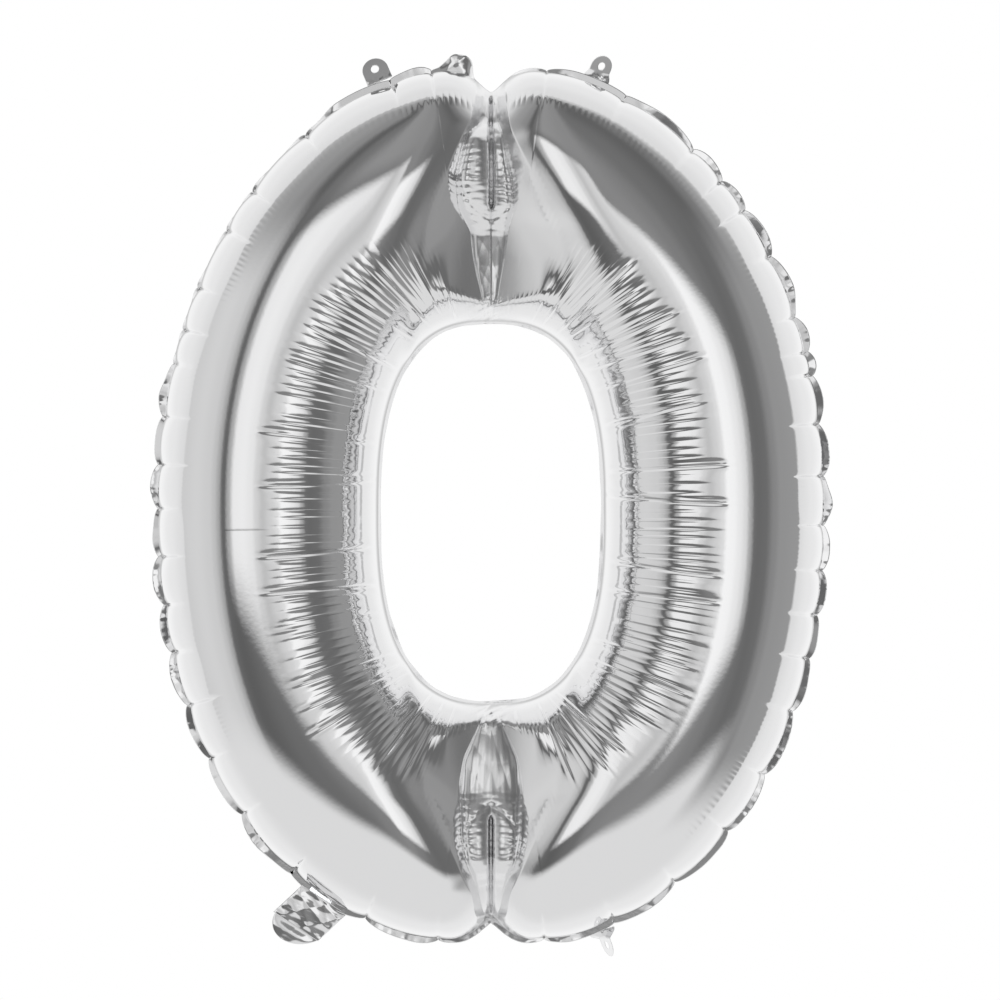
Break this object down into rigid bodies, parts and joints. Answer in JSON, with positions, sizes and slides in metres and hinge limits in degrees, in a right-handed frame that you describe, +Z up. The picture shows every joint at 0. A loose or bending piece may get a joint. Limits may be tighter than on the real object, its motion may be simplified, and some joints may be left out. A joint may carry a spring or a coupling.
{
  "type": "foil number balloon",
  "caption": "Inflated metallised-foil balloon shaped as the digit 0, with welded rims, punched hanging tabs and a flat folding filler neck with a film valve inside.",
  "frame": {"origin": "centre of the ring, in the plane of the weld, halfway between the highest hanging tab and the tip of the filler neck", "axes": "+Z up the digit, +X to the viewer's right, -Y towards the viewer: the front foil faces -Y and the weld lies in the XZ plane"},
  "size_m": [0.6622, 0.205, 0.8869],
  "materials": {
    "silver_foil": "metallised film, bright mirror gloss with wrinkles",
    "clear_film": "clear polyethylene film, glossy"
  },
  "bodies": {
    "balloon": {"front_foil": "silver_foil", "back_foil": "silver_foil", "outer_weld_band": "silver_foil", "inner_weld_band": "silver_foil", "valve_film_front": "clear_film", "valve_film_back": "clear_film"},
    "tab_left": {"hang_tab_left": "silver_foil"},
    "tab_right": {"hang_tab_right": "silver_foil"},
    "tab_bottom": {"hang_tab_bottom": "silver_foil"},
    "neck": {"neck_sleeve": "silver_foil"},
    "neck_end": {"neck_tip": "silver_foil"}
  },
  "joints": [
    {"name": "tab_left_bend", "type": "hinge", "parent": "balloon", "child": "tab_left", "pos_m": [-0.10885, 0, 0.41505], "axis": [0.9217, 0, 0.3878], "range_deg": [-100, 100], "stiffness_Nm_per_rad": 0.0005},
    {"name": "tab_right_bend", "type": "hinge", "parent": "balloon", "child": "tab_right", "pos_m": [0.10327, 0, 0.41733], "axis": [0.93, 0, -0.3676], "range_deg": [-100, 100], "stiffness_Nm_per_rad": 0.0005},
    {"name": "tab_bottom_bend", "type": "hinge", "parent": "balloon", "child": "tab_bottom", "pos_m": [0.10876, 0, -0.41822], "axis": [-0.9362, 0, -0.3514], "range_deg": [-100, 100], "stiffness_Nm_per_rad": 0.0005},
    {"name": "neck_bend", "type": "hinge", "parent": "balloon", "child": "neck", "pos_m": [-0.16513, 0, -0.39004], "axis": [-0.8337, 0, 0.5523], "range_deg": [-60, 60], "stiffness_Nm_per_rad": 0.002},
    {"name": "neck_fold", "type": "hinge", "parent": "neck", "child": "neck_end", "pos_m": [-0.18391, 0, -0.41839], "axis": [-0.8337, 0, 0.5523], "range_deg": [-90, 90], "stiffness_Nm_per_rad": 0.001}
  ]
}
